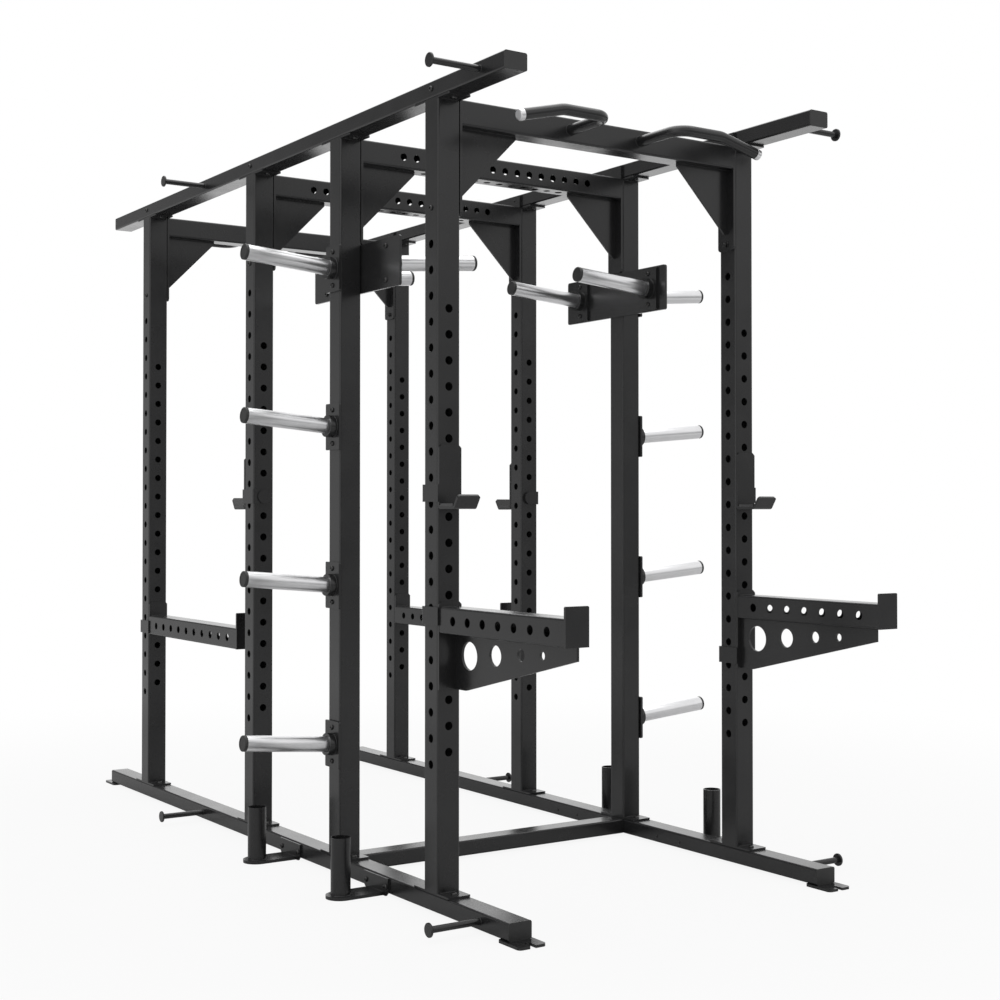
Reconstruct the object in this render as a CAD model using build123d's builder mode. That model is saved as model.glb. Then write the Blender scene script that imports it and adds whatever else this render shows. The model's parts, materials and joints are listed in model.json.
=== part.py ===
from build123d import *
from math import cos, radians, sin
import os

# Power cage: two floor rails and two top rails carry four pairs of uprights, tied by
# crossmembers. Weight horns, bar holders, band pegs, pull-up handles, bar cups and
# safety arms hang on the frame.
# Millimetres, +Z up, -Y is the lifter's front side, X is left (-) and right (+).
# The origin is on the floor, in the middle of the outline seen from above.

# Frame
HEIGHT = 2400.0                 # floor to the top of the top rails
WIDTH = 1216.0                  # across the outer faces of the uprights
TUBE = 75.0                     # side of the square tubes and width of the flat ones
FLAT_TUBE = 50.0                # height of the rails and the floor crossmember
WALL = 3.0
CORNER = 6.0                    # outside corner radius of the tubes
BAY_FRONT = 593.0               # front to storage uprights, axis to axis
BAY_STORAGE = 641.0             # storage to middle uprights
BAY_REAR = 989.5                # middle to rear uprights
FLOOR_OVERHANG_FRONT = 399.0    # front upright axis to the floor rail's end
FLOOR_OVERHANG_REAR = 377.5
TOP_OVERHANG_FRONT = 379.0
TOP_OVERHANG_REAR = 357.5
FLANGE = 6.0                    # plates welded on the uprights' ends
FLANGE_LENGTH = 192.0
FLANGE_CORNER = 4.0

# Plugs in the rails' open ends
PLUG_LIP = 3.0
PLUG_DEPTH = 15.0
PLUG_GAP = 0.2                  # clearance of a plug or spigot in its tube

# Feet
FOOT = 8.0
FOOT_WIDTH = 90.0
FOOT_UNDER = 45.0               # length of the plate under the rail
FOOT_PROUD = 60.0               # length of the plate past the rail's end
FOOT_CORNER = 12.0
FOOT_SLOT = 18.0                # width of the anchor slot, open at the outer edge
FOOT_SLOT_DEPTH = 32.0

# Adjustment holes in the front, middle and rear uprights
HOLE = 25.0
HOLE_PITCH = 75.0
SIDE_HOLE_FIRST = 427.0         # lowest hole through the left and right walls
SIDE_HOLE_STOP = 50.0           # free wall from the highest side hole to the crossmember's plate
FACE_HOLE_FIRST = 464.5         # lowest hole through the front and back walls
FACE_HOLES = 18

# Top crossmembers
BEAM_DROP = 50.0                # top of the top rails to the top of the crossmember
BEAM_PLATE = 8.0                # bolted end plates
BEAM_PLATE_TOP = 5.0            # top of the top rails to the top of the end plate
BEAM_PLATE_HEIGHT = 385.0
BEAM_PLATE_CORNER = 12.0
GUSSET = 8.0
GUSSET_REACH = 210.0
GUSSET_TIP = 10.0
BEAM_HOLE = 24.0
BEAM_HOLE_PITCH = 50.0
BEAM_HOLES = 16
DRILLED_BEAMS = ("storage", "middle")
FLOOR_BEAM_PLATE = 6.0

# Pull-up handles
HANDLE = 33.7                   # outside diameter
HANDLE_WALL = 3.0
HANDLE_X = 135.0                # root of the handle, from the middle of the crossmember
HANDLE_RISE = 1.0               # root above the crossmember's axis
HANDLE_REACH = 190.0            # crossmember's face to the grip's axis
HANDLE_GRIP_X = 300.0           # where the grip bends down
HANDLE_END_X = 443.0
HANDLE_DROP = 35.0
HANDLE_BENDS = (48.0, 90.0)     # bend radii at the elbow and in the grip
HANDLE_CAP = 16.0
HANDLE_CAP_DEPTH = 14.0
HANDLE_CAP_EDGE = 2.5

# Weight horns
HORN_FIRST = 414.0              # height of the lowest horn's root
HORN_ROWS = 4
HORN_TILT = 5.0                 # degrees upward
HORN_PLATE = 8.0
HORN_PLATE_WIDTH = 90.0
HORN_PLATE_HEIGHT = 148.0
HORN_PLATE_CORNER = 5.0
COLLAR = 70.0
COLLAR_LENGTH = 22.0
SLEEVE = 50.0
SLEEVE_WALL = 4.0
SLEEVE_LENGTH = 279.0           # collar to the end cap
SLEEVE_SHOULDER = 2.0           # step down to the root, which sits in the collar
SLEEVE_GAP = 0.2                # clearance of the root in the collar
HORN_CAP_LENGTH = 10.0
HORN_CAP_DEPTH = 15.0
HORN_CAP_EDGE = 2.5

# Plate carrying the inward horns
BRACKET = 8.0
BRACKET_LENGTH = 566.0
BRACKET_HEIGHT = 156.0
BRACKET_CORNER = 8.0
BRACKET_BELOW_BEAM = 1.5        # gap under the crossmember's end plate
BRACKET_HORN_SPREAD = 198.0     # horn axis from the upright's axis

# Band pegs
PEG = 19.0
PEG_LENGTH = 158.0
PEG_HEAD = 40.0
PEG_HEAD_LENGTH = 7.0
PEG_HEAD_EDGE = 1.5
PEG_FROM_FRONT_POST = 256.0     # ahead of the front uprights' axis
PEG_FROM_MIDDLE_POST = 401.0    # behind the middle uprights' axis

# Bar holders beside the floor rails
HOLDER = 60.0
HOLDER_WALL = 3.0
HOLDER_HEIGHT = 170.5
HOLDER_OUT = 126.0              # floor rail's side to the tube's axis
HOLDER_FROM_STORAGE_POST = (-282.0, 302.0)
HOLDER_BASE = 10.0
HOLDER_BASE_WIDTH = 90.0
HOLDER_BASE_CLEAR = 0.5         # underside above the floor
HOLDER_PLATE = 6.0
HOLDER_PLATE_WIDTH = 146.0
HOLDER_PLATE_HEIGHT = 54.0
HOLDER_PLATE_CUT = 14.0

# Clamp straps and lock pins of the bar cups and rear safety arms
STRAP = 5.0
STRAP_HEIGHT = 50.0
PIN_GAP = 0.05                  # radial clearance of a pin in its hole
PIN_HEAD = 50.0
PIN_HEAD_LENGTH = 5.0
PIN_LENGTH = 25.0

# Bar cups
CUP_HOLE_ROW = 10               # counted from the lowest face hole
CUP_PLATE = 8.0
CUP_STRAP_DROP = 7.0            # strap's middle below the pin's axis
CUP_HEIGHT = 185.0
CUP_DROP = 53.0                 # pin axis to the tray's underside
CUP_DEPTH = 87.0                # upright's face to the heel of the lip
CUP_LIP_OUT = 24.0
CUP_LIP_RISE = 37.0
CUP_BEND = 5.0
CUP_TOP_CUT = 9.0
CUP_LIP_ROUND = 8.0
LINER = 8.0
LINER_GAP = 0.5                 # free edge all round the liner

# Safety arms, shared sizes
ARM_PLATE = 8.0
ARM_PLATE_CUT = 9.0
ARM_END_CUT = 3.0               # cut corners of the end plate
ARM_HOLE = 27.0
ARM_HOLE_PITCH = 76.0
ARM_HOLE_FIRST = 80.0           # upright's face to the first hole
ARM_HOLE_STOP = 60.0            # least distance from the last hole to the end plate

# Rear safety arms
SAFETY_HOLE_ROW = 3
SAFETY_ABOVE_PIN = 8.0          # arm's axis above the pin's
SAFETY_REACH = 848.0            # upright's face to the end plate's face
SAFETY_PLATE_HEIGHT = 130.0

# Front spotter arms, which turn on a stud to come off
SPOTTER_HOLE_ROW = 4
ARM_REACH = 656.0               # front upright axis to the tip
SPOTTER_ABOVE_STUD = 80.0       # tube's axis above the stud's
SPOTTER_END_HEIGHT = 106.0
SPOTTER_BACK_TOP = 132.5        # back plate's ends, from the stud's axis
SPOTTER_BACK_BOTTOM = 119.5
SPOTTER_FACE_GAP = 0.3          # back plate to the upright's face
STUD_LENGTH = 28.0
EAR = 5.0
EAR_HEIGHT = 52.0
EAR_SIDE_GAP = 0.6              # ear to the upright's side
EAR_BACK_GAP = 0.5              # ear's hook to the upright's back
EAR_HOOK_STOP = 15.0            # end of the hook to the upright's middle
EAR_UP = 90.5                   # outer ear's middle above the stud
EAR_DOWN = 79.5                 # inner ear's middle below the stud
EAR_BEND = 5.0
WEB = 8.0
WEB_INSET = 20.0                # towards the cage from the arm's middle
WEB_FLAT = 56.0
WEB_TIP = 38.0                  # depth of the web at its outer end
WEB_STOP = 17.0                 # web's outer end to the end plate
# Holes in the web: distance from the upright's face, depth below the stud, diameter
WEB_HOLES = ((84.0, 19.5, 81.0), (216.0, 9.0, 59.0), (341.0, -2.0, 35.0), (440.5, -8.0, 24.0))

# Places worked out from the sizes above
DEPTH = ARM_REACH + BAY_FRONT + BAY_STORAGE + BAY_REAR + FLOOR_OVERHANG_REAR + FOOT_PROUD
FRONT_Y = ARM_REACH - DEPTH / 2
STORAGE_Y = FRONT_Y + BAY_FRONT
MIDDLE_Y = STORAGE_Y + BAY_STORAGE
REAR_Y = MIDDLE_Y + BAY_REAR
OUTER_X = WIDTH / 2
POST_X = OUTER_X - TUBE / 2
INNER_X = OUTER_X - TUBE
RAIL_TOP = FOOT + FLAT_TUBE
POST_BOTTOM = RAIL_TOP + FLANGE
POST_TOP = HEIGHT - FLAT_TUBE - FLANGE
FLOOR_RAIL_Z = FOOT + FLAT_TUBE / 2
TOP_RAIL_Z = HEIGHT - FLAT_TUBE / 2
BEAM_Z = HEIGHT - BEAM_DROP - TUBE / 2
BEAM_END_X = INNER_X - BEAM_PLATE
BEAM_PLATE_BOTTOM = HEIGHT - BEAM_PLATE_TOP - BEAM_PLATE_HEIGHT
SIDE_HOLES = 1 + int((BEAM_PLATE_BOTTOM - SIDE_HOLE_STOP - SIDE_HOLE_FIRST) / HOLE_PITCH)
HORN_TOP = BEAM_PLATE_BOTTOM - BRACKET_BELOW_BEAM - BRACKET_HEIGHT / 2
HORN_PITCH = (HORN_TOP - HORN_FIRST) / (HORN_ROWS - 1)
SIDES = (("left", -1), ("right", 1))

os.makedirs("parts", exist_ok=True)


def save(name, *pieces):
    """Write one node, made of one piece or of welded pieces that stay separate solids."""
    node = pieces[0] if len(pieces) == 1 else Compound(children=list(pieces))
    node.label = name
    export_step(node, f"parts/{name}.step")


def face_hole_z(row):
    return FACE_HOLE_FIRST + row * HOLE_PITCH


def tube_section(width, height):
    """Wall of a rectangular tube around the current location of a sketch."""
    RectangleRounded(width, height, CORNER)
    inside = 2 * WALL
    RectangleRounded(width - inside, height - inside, CORNER - WALL, mode=Mode.SUBTRACT)


def plate(plane, middle, width, height, thickness, corner):
    """Flat plate with rounded corners, drawn on a plane and thickened along its normal."""
    with BuildPart() as sheet:
        with BuildSketch(plane):
            with Locations(middle):
                RectangleRounded(width, height, corner)
        extrude(amount=thickness)
    return sheet.part


# Rails with their end plugs and feet
def rail(x, z, front_y, rear_y):
    with BuildPart() as tube:
        with BuildSketch(Plane.XZ.offset(-rear_y)):
            with Locations((x, z)):
                tube_section(TUBE, FLAT_TUBE)
        extrude(amount=rear_y - front_y)
    return tube.part


def rail_plug(x, z, end_y, facing):
    """Plug whose lip covers the tube's end; facing is -1 at the front and 1 at the rear."""
    inside = 2 * (WALL + PLUG_GAP)
    with BuildPart() as plug:
        with BuildSketch(Plane.XZ.offset(-end_y)):
            with Locations((x, z)):
                RectangleRounded(TUBE, FLAT_TUBE, CORNER)
        extrude(amount=-facing * PLUG_LIP)
        with BuildSketch(Plane.XZ.offset(-end_y)):
            with Locations((x, z)):
                RectangleRounded(TUBE - inside, FLAT_TUBE - inside, CORNER - WALL)
        extrude(amount=facing * PLUG_DEPTH)
    return plug.part


def foot_plate(x, end_y, facing):
    middle_y = end_y + facing * (FOOT_PROUD - FOOT_UNDER) / 2
    slot_y = end_y + facing * (FOOT_PROUD - FOOT_SLOT_DEPTH + FOOT_SLOT / 2)
    with BuildPart() as foot:
        with BuildSketch():
            with Locations((x, middle_y)):
                RectangleRounded(FOOT_WIDTH, FOOT_UNDER + FOOT_PROUD, FOOT_CORNER)
            with Locations((x, slot_y + facing * FOOT_SLOT_DEPTH / 2)):
                SlotCenterToCenter(FOOT_SLOT_DEPTH, FOOT_SLOT, rotation=90, mode=Mode.SUBTRACT)
        extrude(amount=FOOT)
    return foot.part


floor_ends = (FRONT_Y - FLOOR_OVERHANG_FRONT, REAR_Y + FLOOR_OVERHANG_REAR)
top_ends = (FRONT_Y - TOP_OVERHANG_FRONT, REAR_Y + TOP_OVERHANG_REAR)
plugs = []
for side, out in SIDES:
    x = out * POST_X
    for level, z, ends in (("bottom", FLOOR_RAIL_Z, floor_ends), ("top", TOP_RAIL_Z, top_ends)):
        tube_front, tube_rear = ends[0] + PLUG_LIP, ends[1] - PLUG_LIP
        save(f"{level}_rail_{side}", rail(x, z, tube_front, tube_rear))
        plugs += [rail_plug(x, z, tube_front, -1), rail_plug(x, z, tube_rear, 1)]
    save(f"foot_plate_front_{side}", foot_plate(x, floor_ends[0], -1))
    save(f"foot_plate_rear_{side}", foot_plate(x, floor_ends[1], 1))
save("rail_end_plugs", *plugs)


# Floor crossmember between the storage uprights
with BuildPart() as floor_beam:
    with BuildSketch(Plane.YZ.offset(FLOOR_BEAM_PLATE - INNER_X)):
        with Locations((STORAGE_Y, FLOOR_RAIL_Z)):
            tube_section(TUBE, FLAT_TUBE)
    extrude(amount=2 * (INNER_X - FLOOR_BEAM_PLATE))
floor_beam_plates = [
    plate(Plane.YZ.offset(x), (STORAGE_Y, FLOOR_RAIL_Z), TUBE, FLAT_TUBE, FLOOR_BEAM_PLATE, CORNER)
    for x in (-INNER_X, INNER_X - FLOOR_BEAM_PLATE)
]
save("floor_crossmember", floor_beam.part, *floor_beam_plates)


# Uprights, each with a flange at both ends
def post_tube(x, y, drilled):
    with BuildPart() as tube:
        with BuildSketch(Plane.XY.offset(POST_BOTTOM)):
            with Locations((x, y)):
                tube_section(TUBE, TUBE)
        extrude(amount=POST_TOP - POST_BOTTOM)
        if drilled:
            side_middle = SIDE_HOLE_FIRST + (SIDE_HOLES - 1) * HOLE_PITCH / 2
            with BuildSketch(Plane.YZ.offset(x)):
                with Locations((y, side_middle)):
                    with GridLocations(HOLE_PITCH, HOLE_PITCH, 1, SIDE_HOLES):
                        Circle(HOLE / 2)
            extrude(amount=TUBE, both=True, mode=Mode.SUBTRACT)
            face_middle = FACE_HOLE_FIRST + (FACE_HOLES - 1) * HOLE_PITCH / 2
            with BuildSketch(Plane.XZ.offset(-y)):
                with Locations((x, face_middle)):
                    with GridLocations(HOLE_PITCH, HOLE_PITCH, 1, FACE_HOLES):
                        Circle(HOLE / 2)
            extrude(amount=TUBE, both=True, mode=Mode.SUBTRACT)
    return tube.part


POSTS = (("front", FRONT_Y, True), ("storage", STORAGE_Y, False),
         ("middle", MIDDLE_Y, True), ("rear", REAR_Y, True))
for post, y, drilled in POSTS:
    for side, out in SIDES:
        x = out * POST_X
        flanges = [
            plate(Plane.XY.offset(z), (x, y), TUBE, FLANGE_LENGTH, FLANGE, FLANGE_CORNER)
            for z in (RAIL_TOP, POST_TOP)
        ]
        save(f"upright_{post}_{side}", post_tube(x, y, drilled), *flanges)


# Top crossmembers with bolted end plates and corner gussets
def beam_tube(y, drilled):
    with BuildPart() as tube:
        with BuildSketch(Plane.YZ.offset(-BEAM_END_X)):
            with Locations((y, BEAM_Z)):
                tube_section(TUBE, TUBE)
        extrude(amount=2 * BEAM_END_X)
        if drilled:
            with BuildSketch(Plane.XZ.offset(-y)):
                with Locations((0, BEAM_Z)):
                    with GridLocations(BEAM_HOLE_PITCH, BEAM_HOLE_PITCH, BEAM_HOLES, 1):
                        Circle(BEAM_HOLE / 2)
            extrude(amount=TUBE, both=True, mode=Mode.SUBTRACT)
            with BuildSketch(Plane.XY.offset(BEAM_Z)):
                with Locations((0, y)):
                    with GridLocations(BEAM_HOLE_PITCH, BEAM_HOLE_PITCH, BEAM_HOLES, 1):
                        Circle(BEAM_HOLE / 2)
            extrude(amount=-TUBE, mode=Mode.SUBTRACT)
    return tube.part


def beam_end_plate(y, out):
    with BuildPart() as end_plate:
        with BuildSketch(Plane.YZ.offset(out * INNER_X)) as outline:
            with Locations((y, BEAM_PLATE_BOTTOM + BEAM_PLATE_HEIGHT / 2)):
                Rectangle(TUBE, BEAM_PLATE_HEIGHT)
            fillet(outline.vertices().group_by(Axis.Y)[0], BEAM_PLATE_CORNER)
        extrude(amount=-out * BEAM_PLATE)
    return end_plate.part


def gusset(y, out):
    wall_x, top_z = BEAM_END_X, BEAM_Z - TUBE / 2
    corners = (
        (wall_x, top_z),
        (wall_x - GUSSET_REACH, top_z),
        (wall_x - GUSSET_REACH, top_z - GUSSET_TIP),
        (wall_x - GUSSET_TIP, top_z - GUSSET_REACH),
        (wall_x, top_z - GUSSET_REACH),
    )
    with BuildPart() as corner_plate:
        with BuildSketch(Plane.XZ.offset(-y)):
            with BuildLine():
                Polyline(*[(out * x, z) for x, z in corners], close=True)
            make_face()
        extrude(amount=GUSSET / 2, both=True)
    return corner_plate.part


for post, y, _ in POSTS:
    ends = []
    for _, out in SIDES:
        ends += [beam_end_plate(y, out), gusset(y, out)]
    save(f"top_crossmember_{post}", beam_tube(y, post in DRILLED_BEAMS), *ends)


# Pull-up handles, one pair in front of the cage and one pair behind it
def pull_up_handle(out, face_y, facing):
    """Bent tube and its end cap; facing is -1 for a handle that reaches forward."""
    z = BEAM_Z + HANDLE_RISE
    grip_y = face_y + facing * HANDLE_REACH
    root = Vector(out * HANDLE_X, face_y, z)
    bend = Vector(out * HANDLE_GRIP_X, grip_y, z)
    tip = Vector(out * HANDLE_END_X, grip_y, z - HANDLE_DROP)
    with BuildPart() as handle:
        with BuildLine():
            FilletPolyline(root, (root.X, grip_y, z), bend, tip, radius=HANDLE_BENDS)
        with BuildSketch(Plane(root, z_dir=(0, facing, 0))):
            Circle(HANDLE / 2)
            Circle(HANDLE / 2 - HANDLE_WALL, mode=Mode.SUBTRACT)
        sweep()
    open_end = Plane(tip, z_dir=tip - bend)
    with BuildPart() as cap:
        with BuildSketch(open_end):
            Circle(HANDLE / 2)
        extrude(amount=HANDLE_CAP)
        outward = Axis(tip, tip - bend)
        chamfer(cap.edges().filter_by(GeomType.CIRCLE).sort_by(outward)[-1], HANDLE_CAP_EDGE)
        with BuildSketch(open_end):
            Circle(HANDLE / 2 - HANDLE_WALL - PLUG_GAP)
        extrude(amount=-HANDLE_CAP_DEPTH)
    return handle.part, cap.part


handle_caps = []
for end, facing, beam_y in (("front", -1, FRONT_Y), ("rear", 1, REAR_Y)):
    for side, out in SIDES:
        handle, cap = pull_up_handle(out, beam_y + facing * TUBE / 2, facing)
        save(f"pull_up_handle_{end}_{side}", handle)
        handle_caps.append(cap)
save("handle_end_caps", *handle_caps)


# Weight horns: a bolted plate with a collar, a sleeve seated in it and an end cap
def horn(face_x, y, z, pointing):
    """Horn on the face at face_x that points along X, -1 or 1, and a little upward."""
    tilt = radians(HORN_TILT)
    seat = Plane(
        origin=(face_x + pointing * HORN_PLATE, y, z),
        x_dir=(0, 1, 0),
        z_dir=(pointing * cos(tilt), 0, sin(tilt)),
    )
    collar_face = seat.offset(COLLAR_LENGTH)
    sleeve_end = collar_face.offset(SLEEVE_LENGTH)
    root = SLEEVE / 2 - SLEEVE_SHOULDER
    bore = SLEEVE / 2 - SLEEVE_WALL
    with BuildPart() as mount:
        with BuildSketch(Plane.YZ.offset(face_x)):
            with Locations((y, z)):
                RectangleRounded(HORN_PLATE_WIDTH, HORN_PLATE_HEIGHT, HORN_PLATE_CORNER)
        extrude(amount=pointing * HORN_PLATE)
        with BuildSketch(seat.offset(-HORN_PLATE / 2)):
            Circle(COLLAR / 2)
        extrude(amount=HORN_PLATE / 2 + COLLAR_LENGTH)
        with BuildSketch(seat):
            Circle(root + SLEEVE_GAP)
        extrude(amount=COLLAR_LENGTH, mode=Mode.SUBTRACT)
    with BuildPart() as sleeve:
        with BuildSketch(collar_face):
            Circle(SLEEVE / 2)
            Circle(bore, mode=Mode.SUBTRACT)
        extrude(amount=SLEEVE_LENGTH)
        with BuildSketch(collar_face):
            Circle(root)
            Circle(bore, mode=Mode.SUBTRACT)
        extrude(amount=-COLLAR_LENGTH)
    with BuildPart() as cap:
        with BuildSketch(sleeve_end):
            Circle(SLEEVE / 2)
        extrude(amount=HORN_CAP_LENGTH)
        outward = Axis(seat.origin, seat.z_dir)
        chamfer(cap.edges().filter_by(GeomType.CIRCLE).sort_by(outward)[-1], HORN_CAP_EDGE)
        with BuildSketch(sleeve_end):
            Circle(bore - PLUG_GAP)
        extrude(amount=-HORN_CAP_DEPTH)
    return mount.part, sleeve.part, cap.part


for side, out in SIDES:
    bracket_face = Plane.YZ.offset(out * INNER_X)
    middle = (STORAGE_Y, HORN_TOP)
    save(
        f"plate_bracket_{side}",
        plate(bracket_face, middle, BRACKET_LENGTH, BRACKET_HEIGHT, -out * BRACKET, BRACKET_CORNER),
    )
    horns = []
    for row in range(HORN_ROWS):
        horns.append(horn(out * OUTER_X, STORAGE_Y, HORN_FIRST + row * HORN_PITCH, out))
    for spread in (-BRACKET_HORN_SPREAD, BRACKET_HORN_SPREAD):
        horns.append(horn(out * (INNER_X - BRACKET), STORAGE_Y + spread, HORN_TOP, -out))
    for kind, pieces in zip(("mounts", "sleeves", "end_caps"), zip(*horns)):
        save(f"horn_{kind}_{side}", *pieces)


# Band pegs on the outer faces of the rails
def band_peg(out, y, z):
    with BuildPart() as peg:
        with BuildSketch(Plane.YZ.offset(out * OUTER_X)):
            with Locations((y, z)):
                Circle(PEG / 2)
        extrude(amount=out * PEG_LENGTH)
        with BuildSketch(Plane.YZ.offset(out * (OUTER_X + PEG_LENGTH))):
            with Locations((y, z)):
                Circle(PEG_HEAD / 2)
        extrude(amount=out * PEG_HEAD_LENGTH)
        chamfer(peg.edges().filter_by(GeomType.CIRCLE).sort_by(SortBy.RADIUS)[-2:], PEG_HEAD_EDGE)
    return peg.part


peg_places = (FRONT_Y - PEG_FROM_FRONT_POST, MIDDLE_Y + PEG_FROM_MIDDLE_POST)
for side, out in SIDES:
    for level, z in (("bottom", FLOOR_RAIL_Z), ("top", TOP_RAIL_Z)):
        save(f"band_pegs_{level}_{side}", *[band_peg(out, y, z) for y in peg_places])


# Bar holders: a tube on a flat base that a plate ties to the floor rail
def bar_holder(out, y):
    x = out * (OUTER_X + HOLDER_OUT)
    plate_face = out * (OUTER_X + HOLDER_PLATE)
    base_top = HOLDER_BASE_CLEAR + HOLDER_BASE
    with BuildPart() as tie:
        with BuildSketch(Plane.YZ.offset(out * OUTER_X)) as outline:
            with Locations((y, HOLDER_BASE_CLEAR + HOLDER_PLATE_HEIGHT / 2)):
                Rectangle(HOLDER_PLATE_WIDTH, HOLDER_PLATE_HEIGHT)
            chamfer(outline.vertices().group_by(Axis.Y)[0], HOLDER_PLATE_CUT)
        extrude(amount=out * HOLDER_PLATE)
    with BuildPart() as base:
        with BuildSketch(Plane.XY.offset(HOLDER_BASE_CLEAR)):
            with Locations(((x + plate_face) / 2, y)):
                Rectangle(abs(x - plate_face), HOLDER_BASE_WIDTH)
            with Locations((x, y)):
                Circle(HOLDER_BASE_WIDTH / 2)
        extrude(amount=HOLDER_BASE)
    with BuildPart() as tube:
        with BuildSketch(Plane.XY.offset(base_top)):
            with Locations((x, y)):
                Circle(HOLDER / 2)
                Circle(HOLDER / 2 - HOLDER_WALL, mode=Mode.SUBTRACT)
        extrude(amount=HOLDER_HEIGHT)
    return tie.part, base.part, tube.part


for side, out in SIDES:
    for place, along in zip(("front", "rear"), HOLDER_FROM_STORAGE_POST):
        save(f"bar_holder_{place}_{side}", *bar_holder(out, STORAGE_Y + along))


# Strap from a back plate round the upright's outer side to a round end over a hole
def clamp_strap(x, y, out, facing, z, pin_z, plate_thickness):
    """facing is -1 where the back plate is on the front of the upright, 1 on its back."""
    side_x = x + out * TUBE / 2
    near_y = y + facing * (TUBE / 2 + plate_thickness)
    far_y = y - facing * TUBE / 2
    end_y = far_y - facing * STRAP
    with BuildPart() as strap:
        with BuildSketch(Plane.YZ.offset(side_x)):
            with Locations(((near_y + end_y) / 2, z)):
                Rectangle(abs(near_y - end_y), STRAP_HEIGHT)
        extrude(amount=out * STRAP)
        with BuildSketch(Plane.XZ.offset(-far_y)):
            with Locations((x, z)):
                Circle(STRAP_HEIGHT / 2)
            with Locations(((x + side_x + out * STRAP) / 2, z)):
                Rectangle(TUBE / 2 + STRAP, STRAP_HEIGHT)
            with Locations((x, pin_z)):
                Circle(HOLE / 2, mode=Mode.SUBTRACT)
        extrude(amount=facing * STRAP)
        bend = strap.edges().filter_by(Axis.Z).sort_by_distance((side_x + out * STRAP, end_y, z))[0]
        fillet(bend, STRAP)
    return strap.part


def lock_pin(x, y, facing, head_z, pin_z):
    """Pin through the strap's round end and the upright's wall, with a flat head over that end."""
    seat = Plane.XZ.offset(-(y - facing * (TUBE / 2 + STRAP)))
    with BuildPart() as pin:
        with BuildSketch(seat):
            with Locations((x, head_z)):
                Circle(PIN_HEAD / 2)
        extrude(amount=facing * PIN_HEAD_LENGTH)
        with BuildSketch(seat):
            with Locations((x, pin_z)):
                Circle(HOLE / 2 - PIN_GAP)
        extrude(amount=-facing * PIN_LENGTH)
    return pin.part


# Bar cups: a bent plate with a lined tray
def bar_cup(x, y, facing, z):
    """Bent plate and liner of a cup whose pin sits at height z."""
    face_y = y + facing * TUBE / 2
    bottom = z - CUP_DROP
    lip_end = (face_y + facing * (CUP_DEPTH + CUP_LIP_OUT), bottom + CUP_LIP_RISE)
    lip = Vector(0, facing * CUP_LIP_OUT, CUP_LIP_RISE).normalized()
    with BuildPart() as cup:
        with BuildSketch(Plane.YZ.offset(x)):
            with BuildLine():
                sheet = FilletPolyline(
                    (face_y, bottom + CUP_HEIGHT),
                    (face_y, bottom),
                    (face_y + facing * CUP_DEPTH, bottom),
                    lip_end,
                    radius=CUP_PLATE + CUP_BEND,
                )
                offset(sheet, amount=CUP_PLATE, side=Side.LEFT if facing > 0 else Side.RIGHT)
            make_face()
        extrude(amount=TUBE / 2, both=True)
        chamfer(cup.edges().filter_by(Axis.Y).group_by(Axis.Z)[-1], CUP_TOP_CUT)
        lip_top = cup.faces().filter_by(lambda face: face.normal_at().dot(lip) > 0.99)
        fillet(lip_top.edges().filter_by(Axis.X, reverse=True), CUP_LIP_ROUND)
    tray_start = face_y + facing * (CUP_PLATE + CUP_BEND)
    tray_end = face_y + facing * (CUP_DEPTH - CUP_PLATE)
    with BuildPart() as liner:
        with BuildSketch(Plane.XY.offset(bottom + CUP_PLATE)):
            with Locations((x, (tray_start + tray_end) / 2)):
                Rectangle(TUBE - 2 * LINER_GAP, abs(tray_end - tray_start))
        extrude(amount=LINER)
    return cup.part, liner.part


cup_z = face_hole_z(CUP_HOLE_ROW)
cup_strap_z = cup_z - CUP_STRAP_DROP
liners = []
for place, y, facing in (("front", FRONT_Y, -1), ("middle", MIDDLE_Y, 1)):
    for side, out in SIDES:
        x = out * POST_X
        cup, liner = bar_cup(x, y, facing, cup_z)
        strap = clamp_strap(x, y, out, facing, cup_strap_z, cup_z, CUP_PLATE)
        save(f"bar_cup_{place}_{side}", cup, strap)
        save(f"bar_cup_pin_{place}_{side}", lock_pin(x, y, facing, cup_strap_z, cup_z))
        liners.append(liner)
save("bar_cup_liners", *liners)


# Arm tube along Y with a row of holes in both sides
def arm_tube(x, z, face_y, start_y, end_y):
    holes = 1 + int((face_y - end_y - ARM_HOLE_FIRST - ARM_HOLE_STOP) / ARM_HOLE_PITCH)
    with BuildPart() as tube:
        with BuildSketch(Plane.XZ.offset(-start_y)):
            with Locations((x, z)):
                tube_section(TUBE, TUBE)
        extrude(amount=start_y - end_y)
        row_middle = face_y - ARM_HOLE_FIRST - (holes - 1) * ARM_HOLE_PITCH / 2
        with BuildSketch(Plane.YZ.offset(x)):
            with Locations((row_middle, z)):
                with GridLocations(ARM_HOLE_PITCH, ARM_HOLE_PITCH, holes, 1):
                    Circle(ARM_HOLE / 2)
        extrude(amount=TUBE, both=True, mode=Mode.SUBTRACT)
    return tube.part


def arm_plate(x, y, bottom, top, width, cut):
    """Upright plate across the arm with cut top corners, its back face at y."""
    with BuildPart() as cross_plate:
        with BuildSketch(Plane.XZ.offset(-y)) as outline:
            with Locations((x, (bottom + top) / 2)):
                Rectangle(width, top - bottom)
            chamfer(outline.vertices().group_by(Axis.Y)[-1], cut)
        extrude(amount=ARM_PLATE)
    return cross_plate.part


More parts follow.
